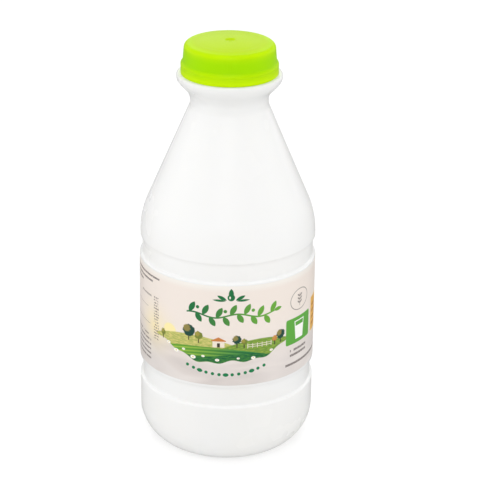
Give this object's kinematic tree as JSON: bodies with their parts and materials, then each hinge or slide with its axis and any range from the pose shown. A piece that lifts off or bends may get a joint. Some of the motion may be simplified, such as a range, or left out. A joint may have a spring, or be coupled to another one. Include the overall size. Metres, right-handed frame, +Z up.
{
  "type": "plastic milk bottle",
  "caption": "Round white plastic milk bottle with a tapered shoulder, a flared neck under a lime screw cap, and a wrap-around printed label between shallow grooves.",
  "frame": {"origin": "middle of the base, in the plane of the standing ring", "axes": "+Z up along the bottle's axis, the middle of the label's front faces -Y"},
  "size_m": [0.0746, 0.0746, 0.178],
  "materials": {
    "body": "satin blow-moulded polyethylene, milk-white and opaque",
    "cap": "satin injection-moulded lime plastic",
    "label": "satin printed film, cream ground"
  },
  "bodies": {
    "root": {"bottle": "body", "cap": "cap", "label": "label"}
  },
  "joints": []
}
